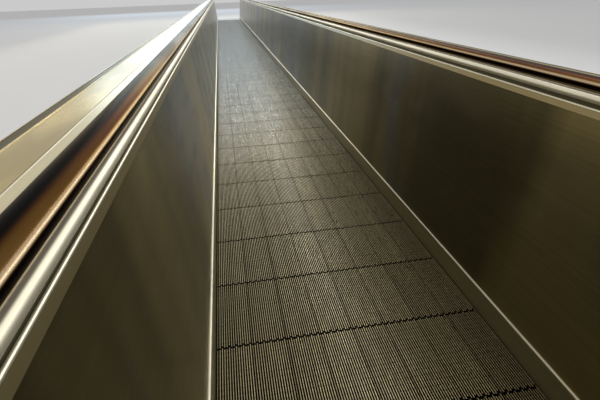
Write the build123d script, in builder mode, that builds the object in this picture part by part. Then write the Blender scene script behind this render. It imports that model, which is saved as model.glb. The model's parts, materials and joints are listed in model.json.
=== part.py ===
from build123d import *

import os

# A level moving walkway between two opaque balustrades, from the floor up.
# X runs across, Y along the travel and Z up, in millimetres. The origin is on the floor at the middle.
# A balustrade is drawn in its own section: u is the distance outward from the edge of the pallets, and v is
# the height above the tread. side is -1 on the left and 1 on the right, end is -1 at the entry and 1 at the exit.

# Band of pallets
bay_count = 6
pallets_per_bay = 10
pallet_pitch = 400.0
pallet_gap = 6.0
pallet_width = 1100.0
tread_height = 150.0
tread_thickness = 12.0
ridge_pitch = 9.15
ridge_width = 4.6
ridge_height = 10.0

# Base frame
beam_flange = 60.0
beam_web = 8.0
beam_u = 90.0
member_spacing = 2000.0
member_width = 80.0
member_height = 80.0
landing_member_count = 4
track_inset = 45.0
track_stem_width = 30.0
track_foot_width = 90.0
track_foot_thickness = 8.0

# Skirt and its bead
skirt_gap = 3.0
skirt_thickness = 4.0
skirt_height = 100.0
skirt_depth = 40.0
bead_height = 7.0
bead_depth = 11.0
bead_proud = 1.0
bead_bevel = 2.0

# Interior panel, leaning outward from the skirt bead to the cap
panel_thickness = 3.0
panel_setback = 7.0
panel_top_u = 96.5
panel_top_drop = 100.0
seam = 1.0

# Panel cap: a strip that ends in a sharp nose, and the valley behind it
cap_proud = 1.0
strip_height = 21.0
strip_lean = 6.0
nose_bevel = 1.5
valley_width = 9.5
valley_rise = 3.0
valley_height = 11.0
cap_wall = 6.0

# Half-round bead under the handrail
rail_bead_radius = 13.0

# Handrail guide and belt
guide_seat_drop = 61.0
guide_base_width = 64.0
guide_base_thickness = 8.0
guide_stem_width = 30.0
guide_flange_width = 56.0
guide_flange_thickness = 9.0
belt_width = 80.0
belt_height = 33.0
belt_shoulder_width = 62.0
belt_top_thickness = 11.0
belt_cavity_width = 60.0
belt_lip_thickness = 8.0
belt_throat_width = 40.0
belt_clearance = 0.3
handrail_height = 990.0

# Outer deck
deck_drop = 55.0
deck_thickness = 3.0
deck_gap = 2.0
inner_deck_width = 95.0
deck_seam = 2.0
outer_deck_width = 110.5
edge_rise = 2.0
edge_ridge_width = 3.0
edge_width = 49.5
edge_strip_drop = 6.0
edge_lip_rise = 2.0
edge_flange = 27.0
corner_cut = 110.0
cladding_foot = 8.0

# Brackets inside the balustrade
bracket_thickness = 8.0
bracket_web = 45.0

# Newels and landings
newel_radius = 300.0
newel_start = 600.0
front_thickness = 4.0
front_margin = 1.0
inlet_wall = 12.0
inlet_depth = 24.0
inlet_clearance = 2.0
comb_reach = 60.0
comb_root_gap = 5.0
comb_tooth_width = 2.8
comb_tooth_depth = 6.0
comb_front_height = 8.0
comb_height = 12.0
comb_bevel_length = 50.0
comb_body_length = 110.0
comb_segment_count = 7
comb_side_gap = 2.0
comb_seat_thickness = 12.0
comb_seat_overlap = 30.0
landing_length = 500.0
apron_thickness = 8.0
apron_cut = 40.0
rib_width = 12.0

# Sizes that follow from those above
bay_length = pallets_per_bay * pallet_pitch
band_end = bay_count * bay_length / 2
newel_y = band_end + newel_start
landing_end = newel_y + landing_length
half_width = pallet_width / 2
skirt_outer_u = skirt_gap + skirt_thickness
bead_inner_u = skirt_gap + bead_proud
bead_outer_u = bead_inner_u + bead_depth
panel_foot_u = bead_inner_u + panel_setback
panel_foot_v = skirt_height + bead_height
panel_top_v = handrail_height - panel_top_drop
panel_lean = (panel_top_u - panel_foot_u) / (panel_top_v - panel_foot_v)
strip_top_u = panel_top_u + strip_lean
valley_u = strip_top_u + valley_width
cap_back_u = valley_u + cap_wall
cap_top_v = panel_top_v + strip_height + nose_bevel + valley_rise + valley_height
rail_bead_v = cap_top_v + rail_bead_radius
rail_u = cap_back_u + guide_base_width / 2
guide_seat_v = handrail_height - guide_seat_drop
guide_top_v = handrail_height - belt_top_thickness - belt_clearance
newel_v = handrail_height - belt_top_thickness - newel_radius
newel_axis_z = tread_height + newel_v
belt_return_v = 2 * newel_v - handrail_height
deck_v = handrail_height - deck_drop
deck_inner_u = rail_u + guide_base_width / 2 + deck_gap
deck_seam_u = deck_inner_u + inner_deck_width
outer_deck_u = deck_seam_u + deck_seam
deck_outer_u = outer_deck_u + outer_deck_width
edge_outer_u = deck_outer_u + edge_width
strip_v = deck_v - edge_strip_drop
cladding_outer_u = edge_outer_u - deck_thickness
cladding_inner_u = cladding_outer_u - deck_thickness
beam_outer_u = beam_u + beam_flange
front_outer_u = rail_u + belt_width / 2 + inlet_clearance + inlet_wall + front_margin
landing_half_width = half_width + front_outer_u
ridge_count = int(pallet_width // ridge_pitch)
comb_root_y = band_end + comb_root_gap
comb_back_y = comb_root_y + comb_body_length
corner_share = 2 - 2**0.5


def across(side, u):
    """The x of a point u outside the edge of the pallets."""
    return side * (half_width + u)


def outline(side, points):
    """Section points (u, v) of one balustrade as x and z."""
    return [(across(side, u), tread_height + v) for u, v in points]


def panel_back_u(v):
    """Back face of the leaning interior panel at height v."""
    return panel_foot_u + panel_thickness + panel_lean * (v - panel_foot_v)


def section(side, points):
    """A closed section of one balustrade, drawn in the sketch that is open."""
    return Polygon(*outline(side, points), align=None)


def finish(piece, name):
    """Names one finished sub-part and writes it."""
    piece.part.label = name
    export_step(piece.part, f"parts/{name}.step")


def balustrade_route(side, inset, inner_u):
    """Plan corners round the outside of one balustrade and in to inner_u at its ends, moved in by inset."""
    x, y = across(side, edge_outer_u - inset), newel_y - inset
    cut = corner_cut - inset * corner_share
    near, inner = x - side * cut, across(side, inner_u)
    return [(inner, -y), (near, -y), (x, cut - y), (x, y - cut), (near, y), (inner, y)]


def landing_route(end, inset):
    """Plan corners round one landing, moved in by inset."""
    x, tip, start = landing_half_width - inset, landing_end - inset, newel_y + seam
    cut = apron_cut - inset * corner_share
    corners = [(-x, start), (-x, tip - cut), (cut - x, tip), (x - cut, tip), (x, tip - cut), (x, start)]
    return [(corner_x, end * corner_y) for corner_x, corner_y in corners]


def strip_between(outer, inner):
    """A strip in plan between two routes, drawn in the sketch that is open."""
    return Polygon(*outer, *reversed(inner), align=None)


def bay_joints():
    """The y of each joint between two bays, and of the two ends of the band."""
    return [index * bay_length - band_end for index in range(bay_count + 1)]


def cut_at_joints():
    """Parts the piece that is open with a seam at each bay joint."""
    with Locations(*[(0, y, tread_height) for y in bay_joints()]):
        Box(2 * across(1, edge_outer_u), seam, 2 * handrail_height, mode=Mode.SUBTRACT)


def support_places():
    """The y of each low cross member, the end ones just inside the ends of the band."""
    gaps = round(2 * band_end / member_spacing)
    run = 2 * band_end - member_width
    return [run * (index / gaps - 0.5) for index in range(gaps + 1)]


def landing_member_places():
    """The distance of each landing's cross members from the middle."""
    pitch = (landing_end - band_end) / landing_member_count
    return [band_end + (index + 0.5) * pitch for index in range(landing_member_count)]


# Base frame


def side_beams():
    """Two channels with their webs outward, the length of the walkway."""
    profile = [
        (beam_u, -tread_height),
        (beam_outer_u, -tread_height),
        (beam_outer_u, 0),
        (beam_u, 0),
        (beam_u, -beam_web),
        (beam_outer_u - beam_web, -beam_web),
        (beam_outer_u - beam_web, beam_web - tread_height),
        (beam_u, beam_web - tread_height),
    ]
    with BuildPart() as piece:
        with BuildSketch(Plane.XZ):
            for side in (-1, 1):
                section(side, profile)
        extrude(amount=landing_end - apron_thickness, both=True)
    return piece


def cross_members():
    """Ties between the two beams, low under the pallets and up to the plates' ribs under the landings."""
    tie_length = 2 * across(1, beam_u)
    foot = (Align.CENTER, Align.CENTER, Align.MIN)
    with BuildPart() as piece:
        with Locations(*[(0, y, 0) for y in support_places()]):
            Box(tie_length, member_width, member_height, align=foot)
        with Locations(*[(0, end * y, 0) for y in landing_member_places() for end in (-1, 1)]):
            Box(tie_length, member_width, tread_height - skirt_depth, align=foot)
    return piece


def pallet_tracks():
    """Two tee rails on the cross members, up to the underside of the pallets."""
    top = tread_height - ridge_height - tread_thickness
    middles = [side * (half_width - track_inset) for side in (-1, 1)]
    with BuildPart() as piece:
        with BuildSketch(Plane.XZ):
            with Locations(*[(middle, member_height) for middle in middles]):
                Rectangle(track_foot_width, track_foot_thickness, align=(Align.CENTER, Align.MIN))
                Rectangle(track_stem_width, top - member_height, align=(Align.CENTER, Align.MIN))
        extrude(amount=band_end, both=True)
    return piece


def base_aprons():
    """A bent plate round each landing, from the newel fronts to the tip."""
    with BuildPart() as piece:
        with BuildSketch():
            for end in (-1, 1):
                strip_between(landing_route(end, 0), landing_route(end, apron_thickness))
        extrude(amount=tread_height)
    return piece


# Pallets


def ridge_centers():
    """The x of each ridge on a pallet."""
    return [(index - (ridge_count - 1) / 2) * ridge_pitch for index in range(ridge_count)]


def groove_centers():
    """The x of each groove between two ridges."""
    return [x + ridge_pitch / 2 for x in ridge_centers()[:-1]]


def pallet(ridged):
    """One pallet round its own middle, its ridges cut or left as their envelope."""
    groove_floor = tread_height - ridge_height
    under = groove_floor - tread_thickness
    half_groove = (ridge_pitch - ridge_width) / 2
    corners = [(-half_width, under), (-half_width, tread_height)]
    if ridged:
        for x in groove_centers():
            first, last = x - half_groove, x + half_groove
            corners += [(first, tread_height), (first, groove_floor), (last, groove_floor), (last, tread_height)]
    corners += [(half_width, tread_height), (half_width, under)]
    with BuildPart() as piece:
        with BuildSketch(Plane.XZ):
            Polygon(*corners, align=None)
        extrude(amount=(pallet_pitch - pallet_gap) / 2, both=True)
    return piece


def pallet_bay(index, plain, ridged):
    """The pallets of one bay. The first and the last of the whole band have their ridges cut."""
    first = bay_joints()[index] + pallet_pitch / 2
    with BuildPart() as piece:
        for place in range(pallets_per_bay):
            number = index * pallets_per_bay + place
            is_end = number in (0, bay_count * pallets_per_bay - 1)
            with Locations((0, first + place * pallet_pitch, 0)):
                add(ridged.part if is_end else plain.part)
    return piece


# Combs and landings


def comb_tooth(end):
    """One tooth, from its full section at the body down to a point that lies in a groove."""
    low, high = tread_height - comb_tooth_depth, tread_height + comb_front_height
    tip, root = end * (band_end - comb_reach), end * comb_root_y
    half_tooth = comb_tooth_width / 2
    with BuildPart() as tooth:
        with BuildSketch(Plane.YZ):
            Polygon((tip, low), (root, low), (root, high), align=None)
        extrude(amount=half_tooth, both=True)
        with BuildSketch(Plane.XY.offset(low)):
            Polygon((0, tip), (-half_tooth, root), (half_tooth, root), align=None)
        extrude(amount=high - low, mode=Mode.INTERSECT)
    return tooth.part


def comb_segments(end):
    """A row of comb segments, with a tooth in each groove of the end pallet."""
    body = [
        (comb_root_y, -comb_tooth_depth),
        (comb_root_y, comb_front_height),
        (comb_root_y + comb_bevel_length, comb_height),
        (comb_back_y, comb_height),
        (comb_back_y, -comb_tooth_depth),
    ]
    tooth = comb_tooth(end)
    grooves = groove_centers()
    with BuildPart() as piece:
        for index in range(comb_segment_count):
            first = index * len(grooves) // comb_segment_count
            last = (index + 1) * len(grooves) // comb_segment_count
            middle = (grooves[first] + grooves[last - 1]) / 2
            with BuildSketch(Plane.YZ.offset(middle)):
                Polygon(*[(end * y, tread_height + v) for y, v in body], align=None)
            extrude(amount=((last - first) * ridge_pitch - seam) / 2, both=True)
            with Locations(*[(x, 0, 0) for x in grooves[first:last]]):
                add(tooth)
    return piece


def comb_plates():
    """Ribbed plates between the skirts, stepped down in front to seat the combs."""
    seat = -comb_tooth_depth
    seat_end = comb_back_y + comb_seat_overlap
    profile = [
        (comb_back_y, comb_height),
        (newel_y, comb_height),
        (newel_y, 0),
        (seat_end, 0),
        (seat_end, seat - comb_seat_thickness),
        (comb_root_y, seat - comb_seat_thickness),
        (comb_root_y, seat),
        (comb_back_y, seat),
    ]
    width = pallet_width + 2 * skirt_gap - 2 * comb_side_gap
    ribs = [end * y for y in landing_member_places() if y < newel_y for end in (-1, 1)]
    with BuildPart() as piece:
        with BuildSketch(Plane.YZ):
            for end in (-1, 1):
                Polygon(*[(end * y, tread_height + v) for y, v in profile], align=None)
        extrude(amount=width / 2, both=True)
        with Locations(*[(0, y, tread_height) for y in ribs]):
            Box(width, rib_width, skirt_depth, align=(Align.CENTER, Align.CENTER, Align.MAX))
    return piece


def landing_plates():
    """Ribbed floor plates past the newel fronts, their outer corners cut like the aprons under them."""
    ribs = [end * y for y in landing_member_places() if y > newel_y for end in (-1, 1)]
    with BuildPart() as piece:
        with BuildSketch(Plane.XY.offset(tread_height)):
            for end in (-1, 1):
                Polygon(*landing_route(end, 0), align=None)
        extrude(amount=comb_height)
        with Locations(*[(0, y, tread_height) for y in ribs]):
            Box(pallet_width, rib_width, skirt_depth, align=(Align.CENTER, Align.CENTER, Align.MAX))
    return piece


# Balustrade skins


def skirt(side):
    """The low plate beside the pallets, from one newel front to the other."""
    profile = [
        (skirt_gap, -skirt_depth),
        (skirt_outer_u, -skirt_depth),
        (skirt_outer_u, skirt_height),
        (skirt_gap, skirt_height),
    ]
    with BuildPart() as piece:
        with BuildSketch(Plane.XZ):
            section(side, profile)
        extrude(amount=newel_y - front_thickness, both=True)
    return piece


def skirt_bead(side):
    """The thin bright bead on the skirt, which the interior panels stand on."""
    middle = across(side, (bead_inner_u + bead_outer_u) / 2)
    with BuildPart() as piece:
        with BuildSketch(Plane.XZ):
            with Locations((middle, tread_height + skirt_height + bead_height / 2)):
                Rectangle(bead_depth, bead_height)
            inner_corners = vertices().sort_by(Axis.X)[:2] if side > 0 else vertices().sort_by(Axis.X)[2:]
            chamfer(inner_corners, bead_bevel)
        extrude(amount=newel_y - front_thickness, both=True)
    return piece


def interior_panels(side):
    """Leaning stainless panels from the skirt bead to the cap: one a bay, and a short one at each end."""
    profile = [
        (panel_foot_u, panel_foot_v),
        (panel_foot_u + panel_thickness, panel_foot_v),
        (panel_top_u + panel_thickness, panel_top_v),
        (panel_top_u, panel_top_v),
    ]
    with BuildPart() as piece:
        with BuildSketch(Plane.XZ):
            section(side, profile)
        extrude(amount=newel_y - front_thickness, both=True)
        cut_at_joints()
    return piece


# Mouldings, guide and belt


def level_run(profile):
    """A section run level from newel to newel."""
    with BuildPart() as piece:
        with BuildSketch(Plane.XZ):
            add(profile)
        extrude(amount=newel_y, both=True)
    return piece


def closed_loop(profile):
    """A section run level from newel to newel, half round each, and back below."""
    return_plane = Plane(origin=(0, 0, 2 * newel_axis_z), x_dir=(1, 0, 0), z_dir=(0, 1, 0))
    with BuildPart() as piece:
        with BuildSketch(Plane.XZ, return_plane):
            add(profile)
        extrude(amount=newel_y, both=True)
        for end in (-1, 1):
            with BuildSketch(Plane.XZ.offset(-end * newel_y)):
                add(profile)
            revolve(axis=Axis((0, end * newel_y, newel_axis_z), (-end, 0, 0)), revolution_arc=180)
    return piece


def cap_profile(side):
    """Strip, sharp nose and valley of the panel cap."""
    nose_v = panel_top_v + strip_height
    back_v = nose_v + nose_bevel + valley_rise
    corners = [
        (panel_top_u - cap_proud, panel_top_v),
        (strip_top_u, nose_v),
        (strip_top_u + nose_bevel, nose_v + nose_bevel),
        (valley_u, back_v),
        (valley_u, back_v + valley_height),
        (cap_back_u, back_v + valley_height),
        (cap_back_u, panel_top_v),
    ]
    with BuildSketch() as profile:
        section(side, corners)
    return profile.sketch


def rail_bead_profile(side):
    """Half-round bead with a flat back."""
    face = across(side, valley_u)
    back = across(side, cap_back_u)
    middle = tread_height + rail_bead_v
    low = (face, middle - rail_bead_radius)
    high = (face, middle + rail_bead_radius)
    crest = (face - side * rail_bead_radius, middle)
    with BuildSketch() as profile:
        with BuildLine():
            ThreePointArc(low, crest, high)
            Polyline(high, (back, high[1]), (back, low[1]), low)
        make_face()
    return profile.sketch


def guide_profile(side):
    """Base, stem and flange of the tee rail inside the belt."""
    middle = across(side, rail_u)
    with BuildSketch() as profile:
        with Locations((middle, tread_height + guide_seat_v)):
            Rectangle(guide_base_width, guide_base_thickness, align=(Align.CENTER, Align.MIN))
            Rectangle(guide_stem_width, guide_top_v - guide_seat_v, align=(Align.CENTER, Align.MIN))
        with Locations((middle, tread_height + guide_top_v)):
            Rectangle(guide_flange_width, guide_flange_thickness, align=(Align.CENTER, Align.MAX))
    return profile.sketch


def belt_profile(side):
    """Belt hooked round the guide: crown, sloped sides, and lips turned in."""
    low_v = handrail_height - belt_height
    lip_v = low_v + belt_lip_thickness
    cavity_v = handrail_height - belt_top_thickness
    half_section = [
        (belt_shoulder_width / 2, handrail_height),
        (belt_width / 2, low_v),
        (belt_throat_width / 2, low_v),
        (belt_cavity_width / 2, lip_v),
        (belt_cavity_width / 2, cavity_v),
    ]
    outward = [(rail_u + u, v) for u, v in half_section]
    inward = [(rail_u - u, v) for u, v in reversed(half_section)]
    with BuildSketch() as profile:
        section(side, outward + inward)
    return profile.sketch


# Newels


def newels(side):
    """Half-round end castings: a slab that takes the mouldings' ends, and the rim that the belt runs round."""
    slab_radius = rail_bead_v + rail_bead_radius - newel_v
    rim_radius = guide_top_v - newel_v
    rim_inner_u, rim_outer_u = rail_u - guide_stem_width / 2, rail_u + guide_stem_width / 2
    profile = [
        (panel_top_u, newel_v),
        (panel_top_u, newel_v + slab_radius),
        (rim_inner_u, newel_v + slab_radius),
        (rim_inner_u, newel_v + rim_radius),
        (rim_outer_u, newel_v + rim_radius),
        (rim_outer_u, newel_v),
    ]
    with BuildPart() as piece:
        for end in (-1, 1):
            with BuildSketch(Plane.XZ.offset(-end * newel_y)):
                section(side, profile)
            revolve(axis=Axis((0, end * newel_y, newel_axis_z), (-end, 0, 0)), revolution_arc=180)
    return piece


def newel_fronts(side):
    """The plates that close the balustrade under each newel, slotted for the handrail."""
    flange_v = strip_v + edge_lip_rise - edge_flange
    profile = [
        (skirt_gap, 0),
        (front_outer_u, 0),
        (front_outer_u, flange_v),
        (deck_inner_u, flange_v),
        (deck_inner_u, guide_seat_v),
        (cap_back_u, guide_seat_v),
        (cap_back_u, panel_top_v),
        (panel_top_u, panel_top_v),
        (panel_foot_u, panel_foot_v),
        (skirt_gap, panel_foot_v),
    ]
    slot_height = belt_height + 2 * inlet_clearance
    slot_middle = tread_height + belt_return_v + belt_height / 2
    with BuildPart() as piece:
        for end in (-1, 1):
            with BuildSketch(Plane.XZ.offset(-end * (newel_y - front_thickness / 2))):
                section(side, profile)
                with Locations((across(side, rail_u), slot_middle)):
                    Rectangle(belt_width + 2 * inlet_clearance, slot_height, mode=Mode.SUBTRACT)
            extrude(amount=front_thickness / 2, both=True)
    return piece


def handrail_inlets():
    """Open collars round the belts where they go back into the newel fronts."""
    inner_width = belt_width + 2 * inlet_clearance
    low = tread_height + belt_return_v - inlet_clearance
    height = belt_height + inlet_clearance
    middles = [across(side, rail_u) for side in (-1, 1)]
    planes = [Plane.XZ.offset(-end * (newel_y + inlet_depth / 2)) for end in (-1, 1)]
    with BuildPart() as piece:
        with BuildSketch(*planes):
            with Locations(*[(x, low - inlet_wall) for x in middles]):
                Rectangle(inner_width + 2 * inlet_wall, height + inlet_wall, align=(Align.CENTER, Align.MIN))
            with Locations(*[(x, low) for x in middles]):
                Rectangle(inner_width, height, align=(Align.CENTER, Align.MIN), mode=Mode.SUBTRACT)
        extrude(amount=inlet_depth / 2, both=True)
    return piece


# Outer deck and cladding


def inner_deck(side):
    """The deck plates between the handrail guide and the seam."""
    middle = across(side, (deck_inner_u + deck_seam_u) / 2)
    with BuildPart() as piece:
        with BuildSketch(Plane.XY.offset(tread_height + deck_v - deck_thickness)):
            with Locations((middle, 0)):
                Rectangle(inner_deck_width, 2 * (newel_y - edge_width))
        extrude(amount=deck_thickness)
        cut_at_joints()
    return piece


def outer_deck(side):
    """The main deck plates, inside the deck edge."""
    with BuildPart() as piece:
        with BuildSketch(Plane.XY.offset(tread_height + deck_v - deck_thickness)):
            Polygon(*balustrade_route(side, edge_width, outer_deck_u), align=None)
        extrude(amount=deck_thickness)
        cut_at_joints()
    return piece


def deck_edge(side):
    """The raised line and the lower strip round the outside of the deck, turned down over the cladding."""
    edge, under_lip, ridge_front, ridge_back = (
        balustrade_route(side, inset, deck_inner_u)
        for inset in (0, deck_thickness, edge_width - edge_ridge_width, edge_width)
    )
    strip_under = strip_v - deck_thickness
    lip_v = strip_v + edge_lip_rise
    with BuildPart() as piece:
        with BuildSketch(Plane.XY.offset(tread_height + strip_under)):
            strip_between(edge, ridge_back)
        extrude(amount=deck_thickness)
        with BuildSketch(Plane.XY.offset(tread_height + strip_under)):
            strip_between(ridge_front, ridge_back)
        extrude(amount=deck_v + edge_rise - strip_under)
        with BuildSketch(Plane.XY.offset(tread_height + lip_v)):
            strip_between(edge, under_lip)
        extrude(amount=-edge_flange)
    return piece


def exterior_cladding(side):
    """Flat panels, one a bay, and a bent one round each end as far as the newel front."""
    outer_inset, inner_inset = edge_outer_u - cladding_outer_u, edge_outer_u - cladding_inner_u
    outer, inner = (balustrade_route(side, inset, front_outer_u) for inset in (outer_inset, inner_inset))
    with BuildPart() as piece:
        with BuildSketch(Plane.XY.offset(cladding_foot)):
            strip_between(outer, inner)
        extrude(amount=tread_height + strip_v - deck_thickness - cladding_foot)
        cut_at_joints()
    return piece


# Brackets


def balustrade_brackets(side):
    """Frames on the beams, one at each bay joint, that carry the skirt, the panels, the rail and the deck."""
    shoulder_v = panel_foot_v + (bead_outer_u - panel_foot_u - panel_thickness) / panel_lean
    strip_under = strip_v - deck_thickness
    profile = [
        (skirt_outer_u, 0),
        (beam_outer_u, 0),
        (beam_outer_u, -tread_height),
        (cladding_inner_u, -tread_height),
        (cladding_inner_u, strip_under),
        (deck_outer_u, strip_under),
        (deck_outer_u, deck_v - deck_thickness),
        (deck_inner_u, deck_v - deck_thickness),
        (deck_inner_u, guide_seat_v),
        (cap_back_u, guide_seat_v),
        (cap_back_u, panel_top_v),
        (panel_back_u(panel_top_v), panel_top_v),
        (bead_outer_u, shoulder_v),
        (bead_outer_u, skirt_height),
        (skirt_outer_u, skirt_height),
    ]
    window_low_v, window_high_v = bracket_web, panel_top_v - bracket_web
    window = [
        (panel_back_u(window_low_v) + bracket_web, window_low_v),
        (cladding_inner_u - bracket_web, window_low_v),
        (cladding_inner_u - bracket_web, window_high_v),
        (panel_back_u(window_high_v) + bracket_web, window_high_v),
    ]
    with BuildPart() as piece:
        with BuildSketch(*[Plane.XZ.offset(-y) for y in bay_joints()]):
            section(side, profile)
            Polygon(*outline(side, window), align=None, mode=Mode.SUBTRACT)
        extrude(amount=bracket_thickness / 2, both=True)
    return piece


os.makedirs("parts", exist_ok=True)

finish(side_beams(), "side_beams")
finish(cross_members(), "cross_members")
finish(pallet_tracks(), "pallet_tracks")
finish(base_aprons(), "base_aprons")
finish(comb_plates(), "comb_plates")
finish(landing_plates(), "landing_plates")
finish(handrail_inlets(), "handrail_inlets")

plain_pallet, ridged_pallet = pallet(False), pallet(True)
for bay in range(bay_count):
    finish(pallet_bay(bay, plain_pallet, ridged_pallet), f"pallets_bay_{bay + 1}")

for end_name, end in (("entry", -1), ("exit", 1)):
    finish(comb_segments(end), f"{end_name}_comb_segments")

for side_name, side in (("left", -1), ("right", 1)):
    finish(balustrade_brackets(side), f"{side_name}_balustrade_brackets")
    finish(skirt(side), f"{side_name}_skirt")
    finish(skirt_bead(side), f"{side_name}_skirt_bead")
    finish(interior_panels(side), f"{side_name}_interior_panels")
    finish(level_run(cap_profile(side)), f"{side_name}_panel_cap")
    finish(level_run(rail_bead_profile(side)), f"{side_name}_rail_bead")
    finish(level_run(guide_profile(side)), f"{side_name}_handrail_guide")
    finish(closed_loop(belt_profile(side)), f"{side_name}_handrail")
    finish(newels(side), f"{side_name}_newels")
    finish(newel_fronts(side), f"{side_name}_newel_fronts")
    finish(inner_deck(side), f"{side_name}_inner_deck")
    finish(outer_deck(side), f"{side_name}_outer_deck")
    finish(deck_edge(side), f"{side_name}_deck_edge")
    finish(exterior_cladding(side), f"{side_name}_exterior_cladding")
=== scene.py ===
import json
from math import acos, cos, degrees, pi, radians, sin

import bmesh
import bpy
from mathutils import Matrix, Vector


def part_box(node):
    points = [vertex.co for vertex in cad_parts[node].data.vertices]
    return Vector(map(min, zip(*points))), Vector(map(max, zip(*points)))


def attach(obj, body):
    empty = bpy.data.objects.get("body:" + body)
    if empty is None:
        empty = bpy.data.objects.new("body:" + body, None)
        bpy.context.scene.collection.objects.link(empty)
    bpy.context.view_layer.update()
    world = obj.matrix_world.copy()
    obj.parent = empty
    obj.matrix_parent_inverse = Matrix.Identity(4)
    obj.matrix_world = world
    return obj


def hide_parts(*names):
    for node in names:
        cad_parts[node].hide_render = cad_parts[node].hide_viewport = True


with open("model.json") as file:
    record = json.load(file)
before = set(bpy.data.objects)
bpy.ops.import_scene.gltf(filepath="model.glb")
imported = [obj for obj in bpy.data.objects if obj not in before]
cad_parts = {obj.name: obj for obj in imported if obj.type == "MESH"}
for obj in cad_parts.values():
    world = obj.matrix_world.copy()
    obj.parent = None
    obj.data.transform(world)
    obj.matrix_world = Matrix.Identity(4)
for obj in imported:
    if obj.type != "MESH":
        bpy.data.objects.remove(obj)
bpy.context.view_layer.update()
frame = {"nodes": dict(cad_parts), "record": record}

bl_info = {
    "name": "Moving walkway",
    "version": (1, 0, 0),
    "blender": (4, 5, 0),
    "location": "View3D > Sidebar > Walkway",
    "description": "Dresses a level moving walkway: ridged pallets, belts, mouldings, brushed skins",
    "category": "Object",
}

# X runs across, Y along the travel and Z up, in metres. A balustrade is drawn in its own section: u is the
# distance outward from the edge of the pallets and z the height. side is -1 on the left and 1 on the right,
# sign is -1 at the entry and 1 at the exit.

SIDES = (("left", -1), ("right", 1))
ENDS = (("entry", -1), ("exit", 1))


def low(node):
    """Lowest corner of a node."""
    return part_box(node)[0]


def high(node):
    """Highest corner of a node."""
    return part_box(node)[1]


BAY_NODES = sorted(name for name in frame["nodes"] if name.startswith("pallets_bay_"))
PALLET_GAP = low("pallets_bay_2")[1] - high("pallets_bay_1")[1]
BAY_LENGTH = high("pallets_bay_1")[1] - low("pallets_bay_1")[1] + PALLET_GAP
BAND_END = high(BAY_NODES[-1])[1] + PALLET_GAP / 2
HALF_WIDTH = high("pallets_bay_1")[0]
TREAD_Z = high("pallets_bay_1")[2]
SLAB_Z = low("pallets_bay_1")[2]
NEWEL_Y = high("left_rail_bead")[1]
RAIL_TOP = high("left_handrail")[2]
AXIS_Z = (RAIL_TOP + low("left_handrail")[2]) / 2
RAIL_U = (high("right_handrail")[0] + low("right_handrail")[0]) / 2 - HALF_WIDTH
BELT_HALF = (high("right_handrail")[0] - low("right_handrail")[0]) / 2
CAP_LOW_Z = low("left_panel_cap")[2]
CAP_TOP_Z = high("left_panel_cap")[2]
CAP_FRONT_U = low("right_panel_cap")[0] - HALF_WIDTH
CAP_BACK_U = high("right_panel_cap")[0] - HALF_WIDTH
BEAD_TOP_Z = high("left_rail_bead")[2]
BEAD_RADIUS = (BEAD_TOP_Z - CAP_TOP_Z) / 2
SLAB_U = low("right_newels")[0] - HALF_WIDTH
RIM_OUTER_U = high("right_newels")[0] - HALF_WIDTH
RIM_Z = high("right_newels")[2]
STEM_WIDTH = 2 * (RIM_OUTER_U - RAIL_U)


def strip_top(node):
    """Height of the widest level face of the deck edge, its lower strip."""
    level_normal, digits = 0.99, 4
    areas = {}
    for face in frame["nodes"][node].data.polygons:
        if face.normal.z > level_normal:
            height = round(face.center.z, digits)
            areas[height] = areas.get(height, 0) + face.area
    return max(areas, key=areas.get)


def linear(red, green, blue):
    """An 8-bit screen colour as the linear one that a shader takes."""
    channels = (channel / 255 for channel in (red, green, blue))
    return tuple(c / 12.92 if c <= 0.04045 else ((c + 0.055) / 1.055) ** 2.4 for c in channels)


def length(name, default, description):
    """A size in metres that a user may change."""
    return bpy.props.FloatProperty(
        name=name, default=default, description=description, min=0, precision=4, unit="LENGTH"
    )


def tint(name, color, description):
    """A colour that a user may change."""
    return bpy.props.FloatVectorProperty(
        name=name, default=linear(*color), description=description, size=3, min=0, max=1, subtype="COLOR"
    )


class TreadSizes(bpy.types.PropertyGroup):
    """Sizes of the pallets' ridges"""

    pitch: length("Pallet pitch", 0.4, "Distance from one pallet to the next")
    ridge_pitch: length("Ridge pitch", 0.00915, "Distance from one ridge to the next")
    ridge_width: length("Ridge width", 0.0032, "Width of a ridge at its top")
    ridge_height: length("Ridge height", 0.010, "Depth of the grooves")
    module_width: length("Module width", 0.13725, "Width of the castings that a pallet is made of")
    ridge_draft: length("Draft", 0.0003, "How much wider each side of a ridge is at its foot")
    ridge_bevel: length("Bevel", 0.0005, "Bevel along the top edges of a ridge")
    joint_step: length("Joint step", 0.008, "How far every third ridge reaches into the next pallet")
    joint_chamfer: length("Joint chamfer", 0.003, "How far the end of a ridge slopes down")


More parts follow.
